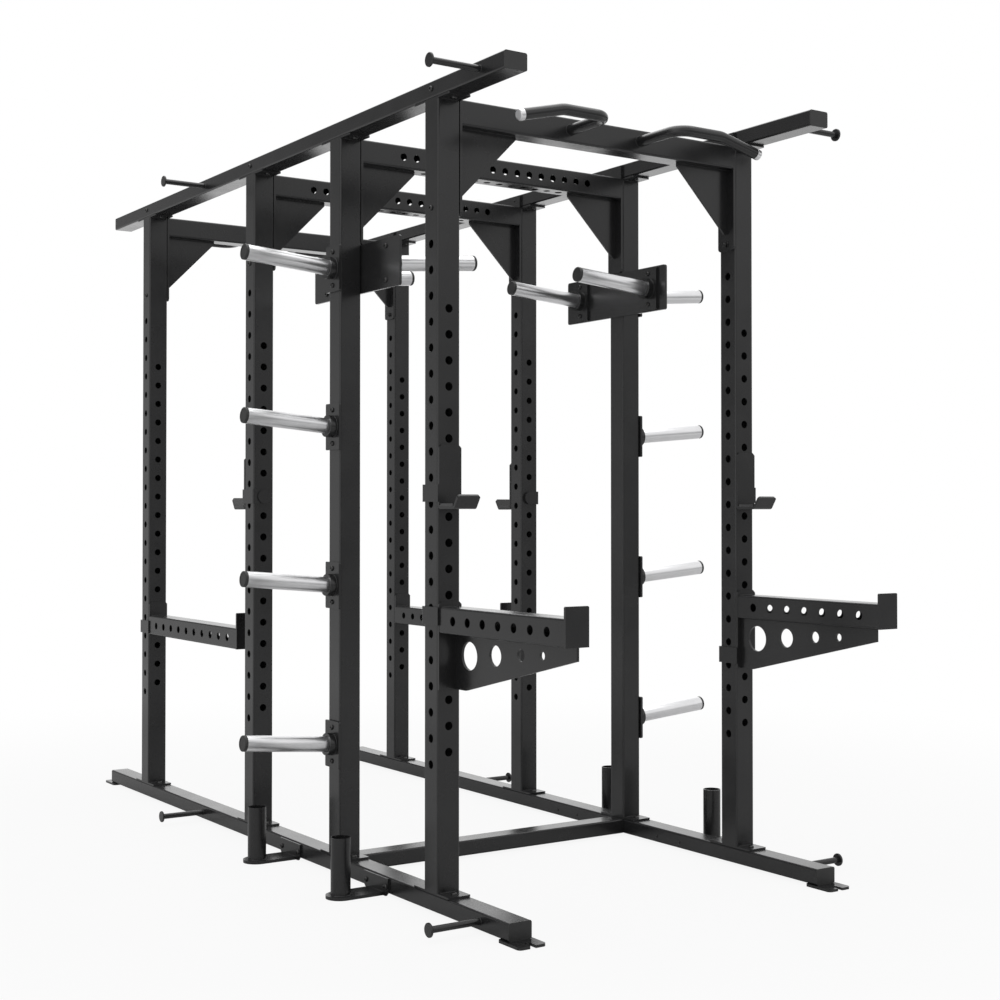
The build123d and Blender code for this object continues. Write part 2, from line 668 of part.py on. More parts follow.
# Rear safety arms, pinned to the rear uprights
safety_pin_z = face_hole_z(SAFETY_HOLE_ROW)
safety_z = safety_pin_z + SAFETY_ABOVE_PIN
safety_bottom = safety_z - TUBE / 2
safety_top = safety_bottom + SAFETY_PLATE_HEIGHT
safety_face_y = REAR_Y - TUBE / 2
safety_end_y = safety_face_y - SAFETY_REACH + ARM_PLATE
for side, out in SIDES:
    x = out * POST_X
    save(
        f"safety_arm_{side}",
        arm_tube(x, safety_z, safety_face_y, safety_face_y - ARM_PLATE, safety_end_y),
        arm_plate(x, safety_face_y, safety_bottom, safety_top, TUBE, ARM_PLATE_CUT),
        arm_plate(x, safety_end_y, safety_bottom, safety_top, TUBE, ARM_END_CUT),
        clamp_strap(x, REAR_Y, out, -1, safety_pin_z, safety_pin_z, ARM_PLATE),
    )
    save(f"safety_arm_pin_{side}", lock_pin(x, REAR_Y, -1, safety_pin_z, safety_pin_z))


# Front spotter arms: a stud enters the upright and two ears hook behind it
def hook_ear(x, ear_side, z, front_y):
    """Ear along one side of the upright, -1 or 1 in X, with a hook behind it."""
    side_x = x + ear_side * (TUBE / 2 + EAR_SIDE_GAP)
    hook_y = FRONT_Y + TUBE / 2 + EAR_BACK_GAP
    end_y = hook_y + EAR
    hook_width = TUBE / 2 + EAR_SIDE_GAP - EAR_HOOK_STOP + EAR
    with BuildPart() as ear:
        with BuildSketch(Plane.YZ.offset(side_x)):
            with Locations(((front_y + end_y) / 2, z)):
                Rectangle(end_y - front_y, EAR_HEIGHT)
        extrude(amount=ear_side * EAR)
        with BuildSketch(Plane.XZ.offset(-end_y)):
            with Locations((side_x + ear_side * (EAR - hook_width / 2), z)):
                Rectangle(hook_width, EAR_HEIGHT)
        extrude(amount=EAR)
        bend = ear.edges().filter_by(Axis.Z).sort_by_distance((side_x + ear_side * EAR, end_y, z))[0]
        fillet(bend, EAR_BEND)
    return ear.part


def spotter_web(x, top_z, bottom_z):
    """Tapered web under the arm with holes that shrink towards the tip."""
    with BuildPart() as web:
        with BuildSketch(Plane.YZ.offset(x)):
            with BuildLine():
                Polyline(
                    (tube_y, top_z),
                    (tube_y, bottom_z),
                    (tube_y - WEB_FLAT, bottom_z),
                    (tip_y + WEB_STOP, top_z - WEB_TIP),
                    (tip_y + WEB_STOP, top_z),
                    close=True,
                )
            make_face()
            for from_face, below_stud, size in WEB_HOLES:
                with Locations((spotter_face_y - from_face, stud_z - below_stud)):
                    Circle(size / 2, mode=Mode.SUBTRACT)
        extrude(amount=WEB / 2, both=True)
    return web.part


def pivot_stud(x, y, z):
    with BuildPart() as stud:
        with BuildSketch(Plane.XZ.offset(-y)):
            with Locations((x, z)):
                Circle(HOLE / 2 - PIN_GAP)
        extrude(amount=-STUD_LENGTH)
    return stud.part


stud_z = face_hole_z(SPOTTER_HOLE_ROW)
spotter_z = stud_z + SPOTTER_ABOVE_STUD
spotter_bottom = spotter_z - TUBE / 2
spotter_face_y = FRONT_Y - TUBE / 2
back_y = spotter_face_y - SPOTTER_FACE_GAP
tube_y = back_y - ARM_PLATE
tip_y = FRONT_Y - ARM_REACH + ARM_PLATE
back_bottom = stud_z - SPOTTER_BACK_BOTTOM
back_top = stud_z + SPOTTER_BACK_TOP
back_width = TUBE + 2 * EAR_SIDE_GAP
spotter_end_top = spotter_bottom + SPOTTER_END_HEIGHT
for side, out in SIDES:
    x = out * POST_X
    save(
        f"spotter_arm_{side}",
        arm_tube(x, spotter_z, spotter_face_y, tube_y, tip_y),
        arm_plate(x, back_y, back_bottom, back_top, back_width, ARM_PLATE_CUT),
        arm_plate(x, tip_y, spotter_bottom, spotter_end_top, TUBE, ARM_END_CUT),
        spotter_web(x - out * WEB_INSET, spotter_bottom, back_bottom),
        pivot_stud(x, back_y, stud_z),
        hook_ear(x, out, stud_z + EAR_UP, tube_y),
        hook_ear(x, -out, stud_z - EAR_DOWN, tube_y),
    )
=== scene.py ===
import json
import math

import bmesh
import bpy
from mathutils import Matrix, Vector


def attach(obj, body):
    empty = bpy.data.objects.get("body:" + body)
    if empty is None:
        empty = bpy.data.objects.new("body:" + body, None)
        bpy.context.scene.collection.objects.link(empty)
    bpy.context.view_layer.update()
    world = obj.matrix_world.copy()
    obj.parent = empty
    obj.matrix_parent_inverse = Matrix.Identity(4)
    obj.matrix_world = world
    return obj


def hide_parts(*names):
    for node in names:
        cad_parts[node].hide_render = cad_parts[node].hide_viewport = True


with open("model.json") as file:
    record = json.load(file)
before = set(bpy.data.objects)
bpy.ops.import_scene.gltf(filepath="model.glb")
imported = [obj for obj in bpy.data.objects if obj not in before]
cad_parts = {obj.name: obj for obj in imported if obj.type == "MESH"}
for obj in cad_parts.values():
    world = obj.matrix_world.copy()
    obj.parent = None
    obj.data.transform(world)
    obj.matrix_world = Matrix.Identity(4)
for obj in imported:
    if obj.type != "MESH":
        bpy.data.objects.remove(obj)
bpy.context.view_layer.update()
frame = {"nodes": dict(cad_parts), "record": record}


# Places on the cage, in metres

SIDES = (("left", -1), ("right", 1))

# Uprights: their middles, faces, inside and flanges
POST_X, OUTER_X, INNER_X = 0.5705, 0.608, 0.533
FRONT_Y, STORAGE_Y, MIDDLE_Y, REAR_Y = -1.0025, -0.4095, 0.2315, 1.221
POST_Y = (FRONT_Y, STORAGE_Y, MIDDLE_Y, REAR_Y)
DRILLED_POSTS = (("front", FRONT_Y), ("middle", MIDDLE_Y), ("rear", REAR_Y))
BOLTED_Y = (FRONT_Y, MIDDLE_Y, REAR_Y)
HALF_TUBE, HALF_INSIDE = 0.0375, 0.0352
FLANGE_LOW, FLANGE_HIGH = 0.064, 2.344
FLANGE_BOLT = 0.0665

# Top crossmembers with their end plates and gussets
BEAM_Z = 2.3125
PLATE_X = 0.525
BEAM_BOLT_LOW, BEAM_BOLT_HIGH = 2.0315, 2.3775
HALF_PLATE = 0.004

# Weight horns
HORN_ROWS = (0.414, 0.9195, 1.425, 1.9305)
HORN_FACE, INNER_HORN_FACE = 0.616, 0.517
INNER_HORN_SPREAD = 0.198
HORN_BOLT = 0.0535
HORN_TILT = math.radians(5)
COLLAR, SLEEVE, CAP = 0.022, 0.279, 0.010
SLEEVE_RADIUS = 0.025

# Pull-up handles
HANDLE_Z = BEAM_Z + 0.001
HANDLE_REACH = 0.19
HANDLE_ROOT_X, HANDLE_END_X = 0.135, 0.443
HANDLE_RUN, HANDLE_DROP = 0.143, 0.035
HANDLE_CAP, HANDLE_CAP_RADIUS = 0.016, 0.01685

# Band pegs and bar holders
PEG_Y = (FRONT_Y - 0.256, MIDDLE_Y + 0.401)
PEG_Z = (0.033, 2.375)
HOLDER_X = 0.734
HOLDER_Y = (STORAGE_Y - 0.282, STORAGE_Y + 0.302)
HOLDER_BASE = 0.0105
HOLDER_BOLT, HOLDER_BOLT_Z = 0.0595, 0.028
TIE_FACE = 0.614

# Undersides and ends of the arms' tubes, and the spotter arms' webs
SAFETY_Z, SAFETY_ENDS = 0.735, (1.1755, 0.3435)
SPOTTER_Z, SPOTTER_ENDS = 0.882, (-1.0483, -1.6505)
WEB_Z, WEB_INSET = 0.807, 0.02


# Shader helpers

def node_tree(name):
    """New material with a Principled shader; returns the material, its nodes, links and shader."""
    material = bpy.data.materials.new(name)
    material.use_nodes = True
    nodes, links = material.node_tree.nodes, material.node_tree.links
    return material, nodes, links, nodes["Principled BSDF"]


def feed(links, socket, value):
    """Sets a socket to a number or colour, or links it to another socket."""
    if isinstance(value, bpy.types.NodeSocket):
        links.new(value, socket)
    else:
        socket.default_value = value


def reckon(nodes, links, operation, *values):
    node = nodes.new("ShaderNodeMath")
    node.operation = operation
    for socket, value in zip(node.inputs, values):
        feed(links, socket, value)
    return node.outputs[0]


def blend(nodes, links, kind, share, first, second):
    """First value or colour where the share is 0, second where it is 1."""
    node = nodes.new("ShaderNodeMix")
    node.data_type = kind
    for socket, value in zip([each for each in node.inputs if each.enabled], (share, first, second)):
        feed(links, socket, value)
    return next(each for each in node.outputs if each.enabled)


def rescale(nodes, links, value, start, end, low=0.0, high=1.0, curve="LINEAR"):
    """Maps a value from start and end to low and high."""
    node = nodes.new("ShaderNodeMapRange")
    node.interpolation_type = curve
    for name, number in (("From Min", start), ("From Max", end), ("To Min", low), ("To Max", high)):
        node.inputs[name].default_value = number
    links.new(value, node.inputs["Value"])
    return node.outputs["Result"]


def noise(nodes, links, scale, detail=4.0):
    """Noise on Object coordinates; returns its value socket."""
    place = nodes.new("ShaderNodeTexCoord")
    texture = nodes.new("ShaderNodeTexNoise")
    texture.inputs["Scale"].default_value = scale
    texture.inputs["Detail"].default_value = detail
    links.new(place.outputs["Object"], texture.inputs["Vector"])
    return texture.outputs["Fac"]


# Noise stays near the middle, so these two of its values stand for its low and high
NOISE_LOW, NOISE_HIGH = 0.3, 0.7


def two_tone(nodes, links, shader, value, dark, light):
    ramp = nodes.new("ShaderNodeValToRGB")
    for stop, position, tone in zip(ramp.color_ramp.elements, (NOISE_LOW, NOISE_HIGH), (dark, light)):
        stop.position = position
        stop.color = (*tone, 1)
    links.new(value, ramp.inputs["Fac"])
    links.new(ramp.outputs["Color"], shader.inputs["Base Color"])


def roughen(nodes, links, shader, value, low, high):
    links.new(rescale(nodes, links, value, NOISE_LOW, NOISE_HIGH, low, high), shader.inputs["Roughness"])


def bump(nodes, links, shader, value, strength, distance):
    node = nodes.new("ShaderNodeBump")
    node.inputs["Strength"].default_value = strength
    node.inputs["Distance"].default_value = distance
    links.new(value, node.inputs["Height"])
    links.new(node.outputs["Normal"], shader.inputs["Normal"])


# Finishes

def powder_coat(name="powder_coat"):
    """Satin black powder coat: faint mottling and a fine pebbled skin."""
    material, nodes, links, shader = node_tree(name)
    mottle = noise(nodes, links, 9)
    skin = noise(nodes, links, 650, 2)
    two_tone(nodes, links, shader, mottle, (0.012, 0.012, 0.0125), (0.017, 0.017, 0.0175))
    roughen(nodes, links, shader, mottle, 0.21, 0.27)
    bump(nodes, links, shader, skin, 0.02, 0.0003)
    return material


def upright_coat(name, post_y):
    """Powder coat of a pair of uprights, dull inside the tube, where a near-black colour is painted shade."""
    material = powder_coat(name)
    nodes, links = material.node_tree.nodes, material.node_tree.links
    shader = nodes["Principled BSDF"]
    place = nodes.new("ShaderNodeTexCoord")
    split = nodes.new("ShaderNodeSeparateXYZ")
    links.new(place.outputs["Object"], split.inputs[0])
    aside = reckon(nodes, links, "ABSOLUTE", split.outputs["X"])
    inside = reckon(nodes, links, "MULTIPLY",
                    reckon(nodes, links, "COMPARE", aside, POST_X, HALF_INSIDE),
                    reckon(nodes, links, "COMPARE", split.outputs["Y"], post_y, HALF_INSIDE))
    # Inside the tube: roughness 1 for a dull finish, and a near-black base colour that is painted shade
    for socket, kind, dull_and_shaded in ((shader.inputs["Base Color"], "RGBA", (0.004, 0.004, 0.004, 1)),
                               (shader.inputs["Roughness"], "FLOAT", 1.0)):
        coated = socket.links[0].from_socket
        links.new(blend(nodes, links, kind, inside, coated, dull_and_shaded), socket)
    return material


def chrome():
    """Clean chrome plate with a faint haze and hardly any waviness."""
    material, nodes, links, shader = node_tree("chrome")
    shader.inputs["Metallic"].default_value = 1
    haze = noise(nodes, links, 14)
    wave = noise(nodes, links, 60, 1)
    two_tone(nodes, links, shader, haze, (0.76, 0.76, 0.77), (0.82, 0.82, 0.83))
    roughen(nodes, links, shader, haze, 0.28, 0.32)
    bump(nodes, links, shader, wave, 0.02, 0.0001)
    return material


def moulded_plastic(name, dark, light, rough):
    material, nodes, links, shader = node_tree(name)
    cloud = noise(nodes, links, 30)
    grain = noise(nodes, links, 900, 2)
    two_tone(nodes, links, shader, cloud, dark, light)
    roughen(nodes, links, shader, cloud, rough - 0.05, rough + 0.05)
    bump(nodes, links, shader, grain, 0.15, 0.0004)
    return material


def bolt_steel():
    """Blackened steel of the bolts, nuts and washers."""
    material, nodes, links, shader = node_tree("bolt_steel")
    shader.inputs["Metallic"].default_value = 1
    film = noise(nodes, links, 120)
    two_tone(nodes, links, shader, film, (0.05, 0.05, 0.051), (0.085, 0.084, 0.083))
    roughen(nodes, links, shader, film, 0.24, 0.34)
    bump(nodes, links, shader, film, 0.1, 0.0003)
    return material


COAT = powder_coat()
BOLT_STEEL = bolt_steel()
CHROME = chrome()
CAP_PLASTIC = moulded_plastic("cap_plastic", (0.018, 0.018, 0.018), (0.028, 0.028, 0.028), 0.5)
LINER_PLASTIC = moulded_plastic("liner_plastic", (0.04, 0.04, 0.041), (0.055, 0.055, 0.056), 0.4)
SLOT_FINISH = {
    "powder_coat": COAT,
    "pin_steel": COAT,
    "chrome": CHROME,
    "black_plastic": CAP_PLASTIC,
    "liner_plastic": LINER_PLASTIC,
}
for part in frame["record"]["subparts"]:
    node = frame["nodes"][part["node"]]
    node.data.materials.clear()
    node.data.materials.append(SLOT_FINISH[part["material_slot"]])
for post, post_y in DRILLED_POSTS:
    coat = upright_coat(f"upright_coat_{post}", post_y)
    for side, _ in SIDES:
        frame["nodes"][f"upright_{post}_{side}"].data.materials[0] = coat


# Modelling helpers

def choose(piece, kind, test):
    """In edit mode, selects only the faces or edges whose middle and normal or direction pass the test."""
    bpy.ops.mesh.select_mode(type=kind)
    bpy.ops.mesh.select_all(action="DESELECT")
    shape = bmesh.from_edit_mesh(piece.data)
    if kind == "FACE":
        for face in shape.faces:
            if test(face.calc_center_median(), face.normal):
                face.select_set(True)
    else:
        for edge in shape.edges:
            start, end = (corner.co for corner in edge.verts)
            if test((start + end) / 2, end - start):
                edge.select_set(True)
    bmesh.update_edit_mesh(piece.data)


def rim_edges(z):
    """Test for edges that lie at height z."""
    return lambda middle, along: abs(middle.z - z) < 1e-5 and abs(along.z) < 1e-5


def flat_top(z):
    """Test for upward faces at height z."""
    return lambda middle, normal: normal.z > 0.9 and abs(middle.z - z) < 1e-5


def flat_bottom(z):
    """Test for downward faces at height z."""
    return lambda middle, normal: normal.z < -0.9 and abs(middle.z - z) < 1e-5


def round_bar(vertices, radius, low, high):
    """Cylinder on the Z axis from low to high, left in edit mode."""
    bpy.ops.object.select_all(action="DESELECT")
    bpy.ops.mesh.primitive_cylinder_add(vertices=vertices, radius=radius, depth=high - low,
                                        location=(0, 0, (low + high) / 2))
    bpy.ops.object.transform_apply(location=True, rotation=True, scale=True)
    piece = bpy.context.object
    bpy.ops.object.mode_set(mode="EDIT")
    return piece


def pull(depth):
    """Extrudes the selected faces along Z."""
    bpy.ops.mesh.extrude_region_move(TRANSFORM_OT_translate={"value": (0, 0, depth)})


def finish_shape(piece, angle):
    """Leaves edit mode and smooths all edges flatter than the angle."""
    bpy.ops.object.mode_set(mode="OBJECT")
    bpy.ops.object.shade_smooth_by_angle(angle=math.radians(angle))
    return piece


def set_up(point, axis):
    """Turns +Z onto an axis and moves the origin to a point."""
    turn = Vector((0, 0, 1)).rotation_difference(Vector(axis)).to_matrix().to_4x4()
    return Matrix.Translation(Vector(point)) @ turn


def gather(name, pieces):
    """One piece from several."""
    bpy.ops.object.select_all(action="DESELECT")
    for piece in pieces:
        piece.select_set(True)
        bpy.context.view_layer.objects.active = piece
    if len(pieces) > 1:
        bpy.ops.object.join()
    bpy.context.object.name = name
    return bpy.context.object


def copies(pattern, name, places):
    """One piece from copies of a pattern, each with its own mesh, at places given as matrices."""
    pieces = []
    for matrix in places:
        mesh = pattern.data.copy()
        mesh.transform(matrix)
        pieces.append(bpy.data.objects.new(name, mesh))
        bpy.context.collection.objects.link(pieces[-1])
    return gather(name, pieces)


def fit_out(piece, material, body="frame"):
    """Gives a piece its finish and body."""
    piece.data.materials.clear()
    piece.data.materials.append(material)
    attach(piece, body)


def drop(*patterns):
    for pattern in patterns:
        bpy.data.objects.remove(pattern, do_unlink=True)


# Chrome sleeves and caps of the weight horns

def horn_sleeve():
    """Sleeve with a root that goes on into its collar."""
    sleeve = round_bar(56, SLEEVE_RADIUS, 0, SLEEVE)
    choose(sleeve, "EDGE", rim_edges(0))
    bpy.ops.mesh.bevel(offset=0.0008, segments=2)
    choose(sleeve, "FACE", flat_bottom(0))
    bpy.ops.mesh.inset(thickness=0.0012)
    pull(-COLLAR)
    return finish_shape(sleeve, 40)


def horn_cap():
    """Cap with a rounded rim, a sunk face and a stem that goes into the sleeve."""
    cap = round_bar(56, SLEEVE_RADIUS, 0, CAP)
    choose(cap, "EDGE", rim_edges(CAP))
    bpy.ops.mesh.bevel(offset=0.0026, segments=4)
    choose(cap, "FACE", flat_top(CAP))
    bpy.ops.mesh.inset(thickness=0.0035)
    bpy.ops.mesh.inset(thickness=0.0006)
    pull(-0.0006)
    choose(cap, "FACE", flat_bottom(0))
    bpy.ops.mesh.inset(thickness=0.0042)
    pull(-0.015)
    return finish_shape(cap, 40)


def horn_places(out):
    """Root and direction of the six horns of one side."""
    up = math.sin(HORN_TILT)
    across = math.cos(HORN_TILT)
    places = [((out * HORN_FACE, STORAGE_Y, z), (out * across, 0, up)) for z in HORN_ROWS]
    for step in (-INNER_HORN_SPREAD, INNER_HORN_SPREAD):
        places.append(((out * INNER_HORN_FACE, STORAGE_Y + step, HORN_ROWS[-1]), (-out * across, 0, up)))
    return places


sleeve, cap = horn_sleeve(), horn_cap()
for side, out in SIDES:
    along = [(Vector(root), Vector(axis)) for root, axis in horn_places(out)]
    tubes = copies(sleeve, f"horn_sleeve_tubes_{side}",
                   [set_up(root + axis * COLLAR, axis) for root, axis in along])
    fit_out(tubes, CHROME)
    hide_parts(f"horn_sleeves_{side}")
    caps = copies(cap, f"horn_caps_{side}",
                  [set_up(root + axis * (COLLAR + SLEEVE), axis) for root, axis in along])
    fit_out(caps, CAP_PLASTIC)
    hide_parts(f"horn_end_caps_{side}")
drop(sleeve, cap)


# Bright caps in the open ends of the pull-up handles

def handle_cap():
    """Cap with a rounded rim, a sunk face and a stem that goes into the handle."""
    cap = round_bar(48, HANDLE_CAP_RADIUS, 0, HANDLE_CAP)
    choose(cap, "EDGE", rim_edges(HANDLE_CAP))
    bpy.ops.mesh.bevel(offset=0.0025, segments=3)
    choose(cap, "FACE", flat_top(HANDLE_CAP))
    bpy.ops.mesh.inset(thickness=0.0015)
    pull(-0.0008)
    choose(cap, "EDGE", rim_edges(0))
    bpy.ops.mesh.bevel(offset=0.0006, segments=1)
    choose(cap, "FACE", flat_bottom(0))
    bpy.ops.mesh.inset(thickness=0.0026)
    pull(-0.014)
    return finish_shape(cap, 35)


cap = handle_cap()
ends = []
for beam_y, facing in ((FRONT_Y, -1), (REAR_Y, 1)):
    for _, out in SIDES:
        end = Vector((out * HANDLE_END_X, beam_y + facing * (HALF_TUBE + HANDLE_REACH), HANDLE_Z - HANDLE_DROP))
        ends.append(set_up(end, Vector((out * HANDLE_RUN, 0, -HANDLE_DROP)).normalized()))
handle_caps = copies(cap, "handle_caps", ends)
fit_out(handle_caps, CHROME)
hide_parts("handle_end_caps")
drop(cap)


# Bolts with a domed head and a hexagon socket, and nuts on washers

BOLT_RADIUS, BOLT_HEIGHT = 0.008, 0.0055
WASHER_RADIUS, WASHER_TOP = 0.0115, 0.002
NUT_RADIUS, NUT_TOP = 0.0092, 0.0085
THREAD_RADIUS, THREAD_TOP = 0.0045, 0.0025


def socket_bolt():
    bolt = round_bar(20, BOLT_RADIUS, 0, BOLT_HEIGHT)
    choose(bolt, "EDGE", rim_edges(BOLT_HEIGHT))
    bpy.ops.mesh.bevel(offset=0.0038, segments=3)
    bpy.ops.object.mode_set(mode="OBJECT")
    key = round_bar(6, 0.0032, 0.0025, 0.008)
    bpy.ops.object.mode_set(mode="OBJECT")
    bpy.ops.object.select_all(action="DESELECT")
    bolt.select_set(True)
    bpy.context.view_layer.objects.active = bolt
    cut = bolt.modifiers.new("socket", "BOOLEAN")
    cut.operation = "DIFFERENCE"
    cut.object = key
    bpy.ops.object.modifier_apply(modifier="socket")
    drop(key)
    return finish_shape(bolt, 35)


def thread_end():
    """End of a bolt that stands just proud of a threaded hole."""
    thread = round_bar(14, THREAD_RADIUS, -0.001, THREAD_TOP)
    choose(thread, "EDGE", rim_edges(THREAD_TOP))
    bpy.ops.mesh.bevel(offset=0.001, segments=1)
    return finish_shape(thread, 35)


def washer_nut():
    """Nut on a washer with a bolt's end through it."""
    washer = round_bar(24, WASHER_RADIUS, 0, WASHER_TOP)
    choose(washer, "EDGE", rim_edges(WASHER_TOP))
    bpy.ops.mesh.bevel(offset=0.0005, segments=1)
    finish_shape(washer, 35)
    nut = round_bar(6, NUT_RADIUS, WASHER_TOP, NUT_TOP)
    choose(nut, "EDGE", rim_edges(NUT_TOP))
    bpy.ops.mesh.bevel(offset=0.0012, segments=2)
    finish_shape(nut, 25)
    thread = thread_end()
    thread.data.transform(Matrix.Translation((0, 0, NUT_TOP)))
    return gather("washer_nut", [washer, nut, thread])


def bolt_row(name, pattern, spots):
    row = copies(pattern, name, [set_up(point, axis) for point, axis in spots])
    fit_out(row, BOLT_STEEL)


bolt, nut, thread = socket_bolt(), washer_nut(), thread_end()
for side, out in SIDES:
    outward, inward = (out, 0, 0), (-out, 0, 0)
    bolt_row(f"crossmember_bolts_{side}", bolt,
             [((out * OUTER_X, y, z), outward) for y in BOLTED_Y for z in (BEAM_BOLT_LOW, BEAM_BOLT_HIGH)])
    bolt_row(f"crossmember_nuts_{side}", nut,
             [((out * PLATE_X, y, BEAM_BOLT_LOW), inward) for y in BOLTED_Y])
    bolt_row(f"crossmember_bolt_ends_{side}", thread,
             [((out * PLATE_X, y, BEAM_BOLT_HIGH), inward) for y in BOLTED_Y])
    horn_bolts = [((out * HORN_FACE, STORAGE_Y, row + step), outward)
                  for row in HORN_ROWS for step in (-HORN_BOLT, HORN_BOLT)]
    for y in (STORAGE_Y - INNER_HORN_SPREAD, STORAGE_Y + INNER_HORN_SPREAD):
        for z in (HORN_ROWS[-1] - HORN_BOLT, HORN_ROWS[-1] + HORN_BOLT):
            horn_bolts.append(((out * INNER_HORN_FACE, y, z), inward))
            horn_bolts.append(((out * INNER_X, y, z), outward))
    bolt_row(f"horn_bolts_{side}", bolt, horn_bolts)
    ties = [y + step for y in HOLDER_Y for step in (-HOLDER_BOLT, HOLDER_BOLT)]
    bolt_row(f"holder_bolts_{side}", bolt, [((out * TIE_FACE, y, HOLDER_BOLT_Z), outward) for y in ties])
    bolt_row(f"holder_bolt_ends_{side}", thread, [((out * INNER_X, y, HOLDER_BOLT_Z), inward) for y in ties])
    tabs = [y + step for y in POST_Y for step in (-FLANGE_BOLT, FLANGE_BOLT)]
    bolt_row(f"flange_bolts_low_{side}", bolt, [((out * POST_X, y, FLANGE_LOW), (0, 0, 1)) for y in tabs])
    bolt_row(f"flange_bolts_high_{side}", bolt, [((out * POST_X, y, FLANGE_HIGH), (0, 0, -1)) for y in tabs])
drop(bolt, nut, thread)


# Weld beads under the coat: rippled runs along seams and rings round tubes

RIPPLE, BEAD = 0.003, 0.0015
SEAM, GUSSET_SEAM, TIE_SEAM, WEB_SEAM = 0.054, 0.2, 0.085, 0.585
COLLAR_RING, HANDLE_RING, PEG_RING, HOLDER_RING = 0.0352, 0.0172, 0.0098, 0.0302


def bead_run(length):
    """Row of overlapping ripples along X that starts at the origin."""
    bpy.ops.object.select_all(action="DESELECT")
    bpy.ops.mesh.primitive_uv_sphere_add(segments=6, ring_count=4, radius=BEAD)
    ripple = bpy.context.object
    bpy.ops.object.mode_set(mode="EDIT")
    bpy.ops.mesh.select_all(action="SELECT")
    bpy.ops.transform.resize(value=(1.5, 1, 1))
    bpy.ops.object.mode_set(mode="OBJECT")
    row = ripple.modifiers.new("row", "ARRAY")
    row.use_relative_offset = False
    row.use_constant_offset = True
    row.constant_offset_displace = (RIPPLE, 0, 0)
    row.count = max(2, round(length / RIPPLE))
    bpy.ops.object.modifier_apply(modifier="row")
    bpy.ops.object.shade_smooth()
    return ripple


def bead_ring(radius):
    """Slightly uneven ring round the Z axis."""
    bpy.ops.object.select_all(action="DESELECT")
    bpy.ops.mesh.primitive_torus_add(major_segments=36, minor_segments=6,
                                     major_radius=radius, minor_radius=BEAD)
    ring = bpy.context.object
    bpy.ops.object.mode_set(mode="EDIT")
    bpy.ops.mesh.select_all(action="SELECT")
    bpy.ops.transform.vertex_random(offset=0.0003, seed=7)
    bpy.ops.object.mode_set(mode="OBJECT")
    bpy.ops.object.shade_smooth()
    return ring


def lay(start, along):
    """Turns +X onto a direction and moves the origin to the start of a run."""
    turn = Vector((1, 0, 0)).rotation_difference(Vector(along)).to_matrix().to_4x4()
    return Matrix.Translation(Vector(start)) @ turn


def weld(name, body, runs, rings=()):
    """One piece of weld beads: runs are (length, start, direction), rings are (radius, middle, axis)."""
    parts = []
    for shape, place, beads in ((bead_run, lay, runs), (bead_ring, set_up, rings)):
        for size in sorted({bead[0] for bead in beads}):
            pattern = shape(size)
            parts.append(copies(pattern, name, [place(*bead[1:]) for bead in beads if bead[0] == size]))
            drop(pattern)
    fit_out(gather(name, parts), COAT, body)


def cross_seams(x, z, ends):
    """Runs along X at height z, one at each end of a tube or flange in Y."""
    return [(SEAM, (x - SEAM / 2, y, z), (1, 0, 0)) for y in ends]


for side, out in SIDES:
    x = out * POST_X
    flange_seams, beam_seams = [], []
    for y in POST_Y:
        for z in (FLANGE_LOW, FLANGE_HIGH):
            flange_seams += cross_seams(x, z, (y - HALF_TUBE, y + HALF_TUBE))
        beam_seams.append((SEAM, (out * PLATE_X, y - SEAM / 2, BEAM_Z + HALF_TUBE), (0, 1, 0)))
        for face in (-HALF_PLATE, HALF_PLATE):
            corner = (out * (PLATE_X - HALF_PLATE), y + face, BEAM_Z - HALF_TUBE)
            beam_seams.append((GUSSET_SEAM, corner, (-out, 0, 0)))
    weld(f"upright_welds_{side}", "frame", flange_seams)
    weld(f"crossmember_welds_{side}", "frame", beam_seams)

    rings = [(COLLAR_RING, root, (axis[0], 0, 0)) for root, axis in horn_places(out)]
    for y, facing in ((FRONT_Y, -1), (REAR_Y, 1)):
        rings.append((HANDLE_RING, (out * HANDLE_ROOT_X, y + facing * HALF_TUBE, HANDLE_Z), (0, 1, 0)))
    rings += [(PEG_RING, (out * OUTER_X, y, z), (1, 0, 0)) for y in PEG_Y for z in PEG_Z]
    rings += [(HOLDER_RING, (out * HOLDER_X, y, HOLDER_BASE), (0, 0, 1)) for y in HOLDER_Y]
    tie_seams = [(TIE_SEAM, (out * TIE_FACE, y - TIE_SEAM / 2, HOLDER_BASE), (0, 1, 0)) for y in HOLDER_Y]
    weld(f"horn_holder_welds_{side}", "frame", tie_seams, rings)

    weld(f"safety_arm_welds_{side}", "frame", cross_seams(x, SAFETY_Z, SAFETY_ENDS))
    spotter_seams = cross_seams(x, SPOTTER_Z, SPOTTER_ENDS)
    for face in (-HALF_PLATE, HALF_PLATE):
        web_root = (x - out * WEB_INSET + face, SPOTTER_ENDS[0], WEB_Z)
        spotter_seams.append((WEB_SEAM, web_root, (0, -1, 0)))
    weld(f"spotter_arm_welds_{side}", f"spotter_arm_{side}", spotter_seams)


# Stage: floor, world, lamp and camera

FLOOR_RADIUS = 6.5
MIRRORED = (0.556, -0.831, 0)           # where the front faces mirror the photograph's camera to
WALL_STOPS = (0.05, 0.28, 0.6, 1.0)     # places round the cage: left, back, side and front
LOW_WALLS, HIGH_WALLS = (0.64, 1.4, 0.65, 0.4), (0.24, 1.4, 0.9, 1.0)
SOFT_LIGHT = 0.75                       # level of the world on surfaces that don't mirror it


def ray_kinds(nodes, links):
    """1 for rays straight from the camera, and 1 for rays that gloss or glass sends on."""
    ray = nodes.new("ShaderNodeLightPath")
    sent_on = reckon(nodes, links, "MAXIMUM", ray.outputs["Is Glossy Ray"], ray.outputs["Is Transmission Ray"])
    return ray.outputs["Is Camera Ray"], sent_on


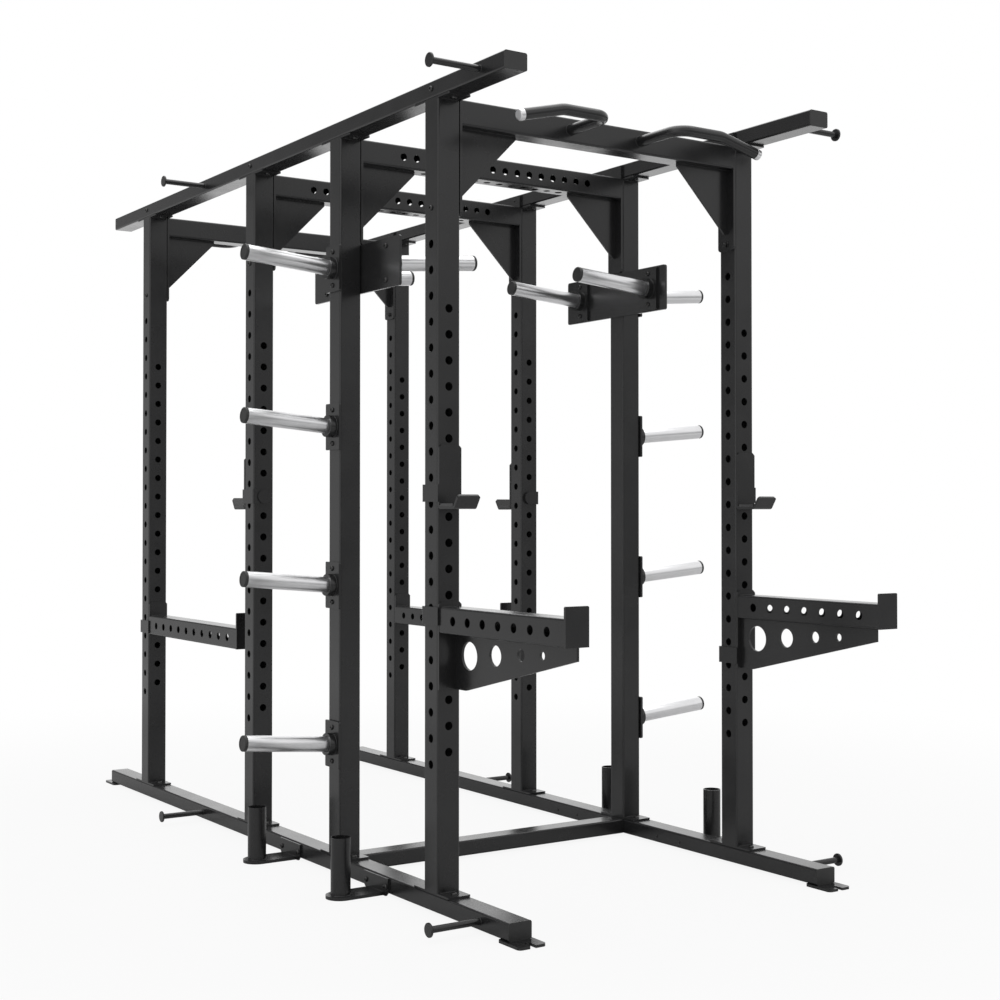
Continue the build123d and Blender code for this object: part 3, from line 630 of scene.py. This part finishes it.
def studio_floor():
    """Round sheet of pale paper that fades into the white backdrop away from the cage."""
    bpy.ops.object.select_all(action="DESELECT")
    bpy.ops.mesh.primitive_circle_add(vertices=96, radius=FLOOR_RADIUS, fill_type="NGON")
    floor = bpy.context.object
    floor.name = "floor"
    material, nodes, links, shader = node_tree("floor_paper")
    shader.inputs["Base Color"].default_value = (0.6, 0.6, 0.6, 1)
    shader.inputs["Roughness"].default_value = 0.9
    place = nodes.new("ShaderNodeTexCoord")
    away = nodes.new("ShaderNodeVectorMath")
    away.operation = "LENGTH"
    links.new(place.outputs["Object"], away.inputs[0])
    distance = away.outputs["Value"]
    seen, sent_on = ray_kinds(nodes, links)
    seen_white = rescale(nodes, links, distance, 1.5, 4.5, low=0.9, curve="SMOOTHSTEP")
    gloss_white = rescale(nodes, links, distance, 3.5, 6.0, curve="SMOOTHSTEP")
    share = reckon(nodes, links, "MAXIMUM",
                   reckon(nodes, links, "MULTIPLY", seen, seen_white),
                   reckon(nodes, links, "MULTIPLY", sent_on, gloss_white))
    white = nodes.new("ShaderNodeEmission")
    mix = nodes.new("ShaderNodeMixShader")
    links.new(share, mix.inputs["Fac"])
    links.new(shader.outputs["BSDF"], mix.inputs[1])
    links.new(white.outputs["Emission"], mix.inputs[2])
    links.new(mix.outputs["Shader"], nodes["Material Output"].inputs["Surface"])
    floor.data.materials.append(material)


def studio_world():
    """White to the camera; gloss sees a room, brighter than white behind the cage and grey to its left and front."""
    world = bpy.data.worlds.new("studio")
    bpy.context.scene.world = world
    world.use_nodes = True
    nodes, links = world.node_tree.nodes, world.node_tree.links
    place = nodes.new("ShaderNodeTexCoord")
    toward = nodes.new("ShaderNodeVectorMath")
    toward.operation = "DOT_PRODUCT"
    toward.inputs[1].default_value = MIRRORED
    links.new(place.outputs["Generated"], toward.inputs[0])
    turn = rescale(nodes, links, toward.outputs["Value"], -1.0, 1.0)

    def walls(levels):
        """Brightness round the cage, from its left by the back to its front."""
        ramp = nodes.new("ShaderNodeValToRGB")
        ramp.color_ramp.interpolation = "EASE"
        stops = ramp.color_ramp.elements
        for position in WALL_STOPS[2:]:
            stops.new(position)
        for number, (position, level) in enumerate(zip(WALL_STOPS, levels)):
            stops[number].position = position
            stops[number].color = (level, level, level, 1)
        links.new(turn, ramp.inputs["Fac"])
        return ramp.outputs["Color"]

    split = nodes.new("ShaderNodeSeparateXYZ")
    links.new(place.outputs["Generated"], split.inputs[0])
    climb = rescale(nodes, links, split.outputs["Z"], 0.0, 0.3, curve="SMOOTHSTEP")
    room = blend(nodes, links, "FLOAT", climb, walls(LOW_WALLS), walls(HIGH_WALLS))
    seen, sent_on = ray_kinds(nodes, links)
    level = blend(nodes, links, "FLOAT", sent_on, SOFT_LIGHT, room)
    background = nodes["Background"]
    background.inputs["Color"].default_value = (1, 1, 1, 1)
    links.new(blend(nodes, links, "FLOAT", seen, level, 1.0), background.inputs["Strength"])


def overhead_softbox():
    bpy.ops.object.light_add(type="AREA", location=(0, 0, 5.5))
    lamp = bpy.context.object
    lamp.name = "overhead_softbox"
    lamp.data.shape = "RECTANGLE"
    lamp.data.size, lamp.data.size_y = 5, 6
    lamp.data.energy = 120


def photo_camera():
    """Camera solved from the straight edges of the cage."""
    bpy.ops.object.camera_add(location=(-2.9711, -4.8889, 1.1553))
    camera = bpy.context.object
    camera.rotation_euler = (math.radians(90.846), 0, math.radians(-33.807))
    camera.data.sensor_width = 36
    camera.data.lens = 56.78
    camera.data.shift_y = -0.01207
    bpy.context.scene.camera = camera


studio_floor()
studio_world()
overhead_softbox()
photo_camera()
bpy.context.scene.view_settings.view_transform = "Standard"
